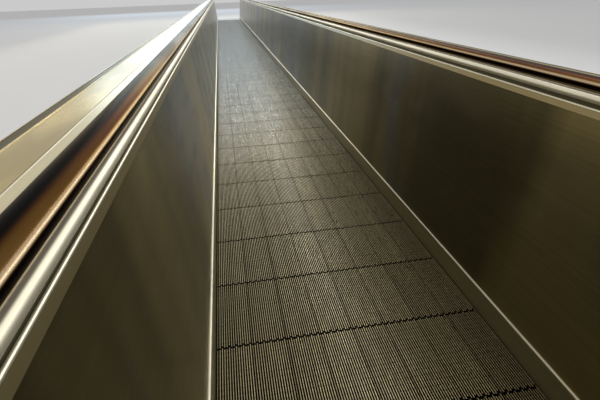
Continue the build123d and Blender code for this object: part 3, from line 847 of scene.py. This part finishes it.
def rail_bead_outline(sizes):
    """Half-round bead with a flat back, and a thin lip behind a fine groove on top."""
    center = (sizes.valley_u, BEAD_TOP_Z - BEAD_RADIUS)
    lip_u, lip_z = CAP_BACK_U - sizes.lip_width, BEAD_TOP_Z + sizes.lip_rise
    groove = sizes.lip_rise / 2
    return [
        (CAP_BACK_U, CAP_TOP_Z),
        *arc(center, BEAD_RADIUS, BEAD_RADIUS, 270, 90, 28),
        (lip_u - groove, BEAD_TOP_Z),
        (lip_u, BEAD_TOP_Z - groove),
        (lip_u, lip_z),
        (CAP_BACK_U, lip_z),
    ]


# name, outline, slot, node that it stands in for, finish
MOULDINGS = (
    ("cap_moulding", cap_outline, "cap_steel", "panel_cap", None),
    ("bright_nose", nose_outline, "polished_trim", None, "bright_edge"),
    ("dark_valley", valley_outline, "cap_steel", None, "valley_shade_steel"),
    ("round_bead", rail_bead_outline, "polished_trim", "rail_bead", "bead_steel"),
)


def moulding(side_name, side, name, outline, slot, node, finish):
    """A moulding that follows the rail round both newels."""
    replaced = (f"{side_name}_{node}",) if node else ()
    return new_piece(f"{side_name}_{name}", [rail_rings(side, outline, 48)], slot, replaced, 32, finish)


def rolled_seam(side_name, side):
    """The rolled edge of the inner deck beside its seam."""
    lap = 0.0002
    sizes = bpy.context.scene.walkway_rail
    node = f"{side_name}_inner_deck"
    edge = max(abs(low(node)[0]), abs(high(node)[0])) - HALF_WIDTH
    deck_z = high(node)[2]
    width, rise = sizes.roll_width, sizes.roll_rise
    outline = [
        (edge, deck_z - rise),
        *arc((edge - width / 2, deck_z - lap), width / 2, rise, 0, 180, 14),
        (edge - width, deck_z - rise),
    ]
    rings = straight_rings(side, outline, node)
    return new_piece(f"{side_name}_rolled_seam", [rings], "deck_steel", (), 60, "polished_trim")


def newel_castings(side_name, side):
    """The half-round slabs inside the mouldings, with the rim that the belt runs round."""
    steps, same_point = 64, 1e-6
    rim_inner_u = RIM_OUTER_U - STEM_WIDTH
    outline = [
        (SLAB_U, AXIS_Z),
        (SLAB_U, CAP_LOW_Z),
        (CAP_BACK_U, CAP_LOW_Z),
        (CAP_BACK_U, BEAD_TOP_Z),
        (rim_inner_u, BEAD_TOP_Z),
        (rim_inner_u, RIM_Z),
        (RIM_OUTER_U, RIM_Z),
        (RIM_OUTER_U, AXIS_Z),
    ]
    rings = rail_rings(side, outline, steps)
    newels = [rings[:steps + 1], rings[steps + 1:]]
    piece = new_piece(f"{side_name}_newel_castings", newels, "panel_steel", (f"{side_name}_newels",), 32)
    shape = bmesh.new()
    shape.from_mesh(piece.data)
    bmesh.ops.remove_doubles(shape, verts=shape.verts, dist=same_point)
    bmesh.ops.dissolve_degenerate(shape, edges=shape.edges, dist=same_point)
    shape.to_mesh(piece.data)
    shape.free()
    return piece


def skirt_bead(side_name, side):
    """The thin bright bead on the skirt, rounded on its inner side."""
    radius = bpy.context.scene.walkway_rail.skirt_bead_radius
    node = f"{side_name}_skirt_bead"
    inner_u, outer_u = sorted(abs(corner[0]) - HALF_WIDTH for corner in (low(node), high(node)))
    foot, top = low(node)[2], high(node)[2]
    outline = [
        *arc((inner_u + radius, top - radius), radius, radius, 90, 180, 8),
        *arc((inner_u + radius, foot + radius), radius, radius, 180, 270, 8),
        (outer_u, foot),
        (outer_u, top),
    ]
    rings = straight_rings(side, outline, node)
    return new_piece(f"{side_name}_bright_bead", [rings], "polished_trim", (node,), 60, "bright_edge")


# Ends


def plate_span(node):
    """The y where the flat top of the exit plate of a node starts and stops."""
    same_height = 1e-4
    top = high(node)[2]
    points = [vertex.co for vertex in frame["nodes"][node].data.vertices]
    ys = [point.y for point in points if abs(point.z - top) < same_height and point.y > 0]
    return min(ys), max(ys)


def plate_ribs(name, node):
    """Fine ribs along the travel on both floor plates of a node."""
    rib_pitch, half_rib, rib_height, margin = 0.0125, 0.003, 0.0015, 0.02
    foot, top = low(node), high(node)
    near, far = plate_span(node)
    count = int((top[0] - foot[0] - 2 * margin) // rib_pitch)
    skins = []
    for _, sign in ENDS:
        for index in range(count):
            x = (index - (count - 1) / 2) * rib_pitch
            outline = [
                (x - half_rib, top[2] - rib_height),
                (x + half_rib, top[2] - rib_height),
                (x + half_rib - rib_height, top[2] + rib_height),
                (x - half_rib + rib_height, top[2] + rib_height),
            ]
            skins.append(level_rings(outline, (sign * (near + margin), sign * (far - margin))))
    return new_piece(name, skins, "floor_plate")


def comb_screws(end_name, sign):
    """Two screws on each comb segment, low round heads with a socket in the middle."""
    segments, shares, margin = 7, (0.25, 0.75), 0.03
    radius, sides, rise, seat = 0.005, 16, 0.0006, 0.001
    profile = ((1.0, -seat), (1.0, rise / 2), (0.86, rise), (0.45, rise), (0.4, -rise))
    turns = [2 * pi * corner / sides for corner in range(sides)]
    node = f"{end_name}_comb_segments"
    foot, top = low(node), high(node)
    y, z = (top[1] if sign > 0 else foot[1]) - sign * margin, top[2]
    width = (top[0] - foot[0]) / segments
    skins = []
    for x in [foot[0] + (index + share) * width for index in range(segments) for share in shares]:
        skins.append([
            [(x + radius * reach * cos(turn), y + radius * reach * sin(turn), z + height) for turn in turns]
            for reach, height in profile
        ])
    return new_piece(f"{end_name}_comb_screws", skins, "comb_alloy")


def inlet_brushes():
    """Rows of short bristles inside the inlets, just under the belts."""
    half_bristle, pitch, depth, drop, gap = 0.0007, 0.0022, 0.006, 0.002, 0.0002
    belt_low = 2 * AXIS_Z - RAIL_TOP
    skins = []
    for _, side in SIDES:
        for _, sign in ENDS:
            face_y = sign * (NEWEL_Y + depth)
            for index in range(int(2 * BELT_HALF // pitch)):
                x = across(side, RAIL_U - BELT_HALF + (index + 0.5) * pitch)
                outline = [
                    (x - half_bristle, belt_low - drop),
                    (x + half_bristle, belt_low - drop),
                    (x + half_bristle, belt_low - gap),
                    (x - half_bristle, belt_low - gap),
                ]
                skins.append(level_rings(outline, (face_y, face_y + sign * depth)))
    return new_piece("inlet_brushes", skins, "collar_rubber")


# Stage


CAMERA_PLACE = (-0.3937, -11.2652, 1.4051)
CAMERA_YAW, CAMERA_PITCH, CAMERA_ROLL = radians(8.926), radians(26.520), radians(2.136)
FOCAL_PIXELS, IMAGE_WIDTH, SENSOR = 421.45, 600, 36.0


def camera_matrix():
    """The camera's place and turn, from its yaw, downward pitch and roll."""
    yaw, pitch, roll = CAMERA_YAW, CAMERA_PITCH, CAMERA_ROLL
    forward = Vector((sin(yaw) * cos(pitch), cos(yaw) * cos(pitch), -sin(pitch)))
    level = Vector((cos(yaw), -sin(yaw), 0))
    down = forward.cross(level)
    right = level * cos(roll) + down * sin(roll)
    below = down * cos(roll) - level * sin(roll)
    turn = Matrix((right, -below, -forward)).transposed()
    return Matrix.Translation(CAMERA_PLACE) @ turn.to_4x4()


def set_floor(scene):
    """A wide level floor under the walkway."""
    reach = 60
    corners = [(-reach, -reach, 0), (reach, -reach, 0), (reach, reach, 0), (-reach, reach, 0)]
    mesh = bpy.data.meshes.new("floor")
    mesh.from_pydata(corners, [], [(0, 1, 2, 3)])
    mesh.materials.append(material_of("stage_floor"))
    floor = bpy.data.objects.new("floor", mesh)
    scene.collection.objects.link(floor)


def set_room(scene):
    """A pale surround, one grey to the camera and in reflections, and a cooler, lighter one as light."""
    cast, shown, strength = (0.84, 0.845, 0.86), (0.66, 0.66, 0.66), 0.9
    world = bpy.data.worlds.new("pale_room")
    world.use_nodes = True
    tree = world.node_tree
    rays = tree.nodes.new("ShaderNodeLightPath").outputs
    seen = math_node(tree, "MAXIMUM", rays["Is Camera Ray"], rays["Is Glossy Ray"])
    seen = math_node(tree, "MAXIMUM", seen, rays["Is Transmission Ray"])
    background = tree.nodes["Background"].inputs
    tree.links.new(blended(tree, seen, cast, shown), background["Color"])
    background["Strength"].default_value = strength
    scene.world = world


def soft_box(scene, name, place, size, radiance, color=(1, 1, 1)):
    """A soft lamp turned to the middle of the walkway. The same radiance looks equally bright at any size."""
    data = bpy.data.lights.new(name, "AREA")
    data.shape = "RECTANGLE"
    data.size, data.size_y = size
    data.energy = radiance * pi * size[0] * size[1]
    data.color = color
    lamp = bpy.data.objects.new(name, data)
    lamp.location = place
    lamp.rotation_euler = (Vector((0, 0, 1)) - Vector(place)).to_track_quat("-Z", "Y").to_euler()
    lamp.visible_camera = False
    scene.collection.objects.link(lamp)


def set_camera(scene):
    """The camera of the main view."""
    data = bpy.data.cameras.new("camera")
    data.sensor_width = SENSOR
    data.lens = SENSOR * FOCAL_PIXELS / IMAGE_WIDTH
    data.clip_start, data.clip_end = 0.02, 200
    camera = bpy.data.objects.new("camera", data)
    camera.matrix_world = camera_matrix()
    scene.collection.objects.link(camera)
    scene.camera = camera


class WALKWAY_OT_stage(bpy.types.Operator):
    """Floor, soft light and camera"""

    bl_idname = "walkway.stage"
    bl_label = "Stage"

    def execute(self, context):
        scene = context.scene
        set_floor(scene)
        set_room(scene)
        soft_box(scene, "right_light", (4.6, 0, 4.6), (34, 1.0), 4.2)
        soft_box(scene, "top_light", (2.0, 0, 7.5), (34, 0.6), 4.6)
        soft_box(scene, "left_light", (-7.5, 0, 2.4), (34, 1.4), 1.2, (1, 0.9, 0.7))
        soft_box(scene, "warm_light", (1, 19, 8.5), (14, 5), 2.4, (1, 0.93, 0.76))
        soft_box(scene, "end_light", (-4, 32, 8), (18, 9), 2.2, (0.6, 0.8, 1))
        set_camera(scene)
        scene.view_settings.view_transform = "Standard"
        return {"FINISHED"}


class WALKWAY_OT_finishes(bpy.types.Operator):
    """Gives each carried-over part its finish"""

    bl_idname = "walkway.finishes"
    bl_label = "Finishes"

    def execute(self, context):
        slots = {item["node"]: item["material_slot"] for item in frame["record"]["subparts"]}
        for name, part in frame["nodes"].items():
            own = [finish for finish in ("deck_edge", "inner_deck") if name.endswith(finish)]
            material = material_of(own[0] if own else slots[name])
            if part.material_slots:
                for place in part.material_slots:
                    place.link = "OBJECT"
                    place.material = material
            else:
                part.data.materials.append(material)
        return {"FINISHED"}


class WALKWAY_OT_pallets(bpy.types.Operator):
    """Ridged pallets of every bay"""

    bl_idname = "walkway.pallets"
    bl_label = "Pallets"

    def execute(self, context):
        for bay in range(len(BAY_NODES)):
            ridged_pallets(bay)
        return {"FINISHED"}


class WALKWAY_OT_belts(bpy.types.Operator):
    """Handrail belts"""

    bl_idname = "walkway.belts"
    bl_label = "Belts"

    def execute(self, context):
        for side_name, side in SIDES:
            belt(side_name, side)
        return {"FINISHED"}


class WALKWAY_OT_mouldings(bpy.types.Operator):
    """Mouldings and newel castings under the belts, skirt beads and rolled seams"""

    bl_idname = "walkway.mouldings"
    bl_label = "Mouldings"

    def execute(self, context):
        sizes = context.scene.walkway_rail
        for side_name, side in SIDES:
            for name, outline, slot, node, finish in MOULDINGS:
                moulding(side_name, side, name, outline(sizes), slot, node, finish)
            newel_castings(side_name, side)
            skirt_bead(side_name, side)
            rolled_seam(side_name, side)
        return {"FINISHED"}


class WALKWAY_OT_ends(bpy.types.Operator):
    """Ribs, screws and brushes at the landings"""

    bl_idname = "walkway.ends"
    bl_label = "Ends"

    def execute(self, context):
        plate_ribs("comb_plate_ribs", "comb_plates")
        plate_ribs("landing_plate_ribs", "landing_plates")
        for end_name, sign in ENDS:
            comb_screws(end_name, sign)
        inlet_brushes()
        return {"FINISHED"}


class WALKWAY_PT_panel(bpy.types.Panel):
    """Lists the sizes, the colours and the steps of the walkway"""

    bl_label = "Moving walkway"
    bl_idname = "WALKWAY_PT_panel"
    bl_space_type = "VIEW_3D"
    bl_region_type = "UI"
    bl_category = "Walkway"

    def draw(self, context):
        for title, group in (
            ("Tread", context.scene.walkway_tread),
            ("Rail", context.scene.walkway_rail),
            ("Colours", context.scene.walkway_colours),
        ):
            box = self.layout.box()
            box.label(text=title)
            for key in group.__annotations__:
                box.prop(group, key)
        for step in STEPS:
            self.layout.operator(step.bl_idname)


STEPS = (
    WALKWAY_OT_stage,
    WALKWAY_OT_finishes,
    WALKWAY_OT_pallets,
    WALKWAY_OT_belts,
    WALKWAY_OT_mouldings,
    WALKWAY_OT_ends,
)
GROUPS = (
    ("walkway_tread", TreadSizes),
    ("walkway_rail", RailSizes),
    ("walkway_colours", WalkwayColours),
)


def register():
    for name, group in GROUPS:
        bpy.utils.register_class(group)
        setattr(bpy.types.Scene, name, bpy.props.PointerProperty(type=group))
    for step in STEPS:
        bpy.utils.register_class(step)
    bpy.utils.register_class(WALKWAY_PT_panel)


def unregister():
    bpy.utils.unregister_class(WALKWAY_PT_panel)
    for step in reversed(STEPS):
        bpy.utils.unregister_class(step)
    for name, group in reversed(GROUPS):
        delattr(bpy.types.Scene, name)
        bpy.utils.unregister_class(group)


def main():
    """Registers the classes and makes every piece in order."""
    register()
    for step in STEPS:
        group, name = step.bl_idname.split(".")
        getattr(getattr(bpy.ops, group), name)()


if __name__ == "__main__":
    main()
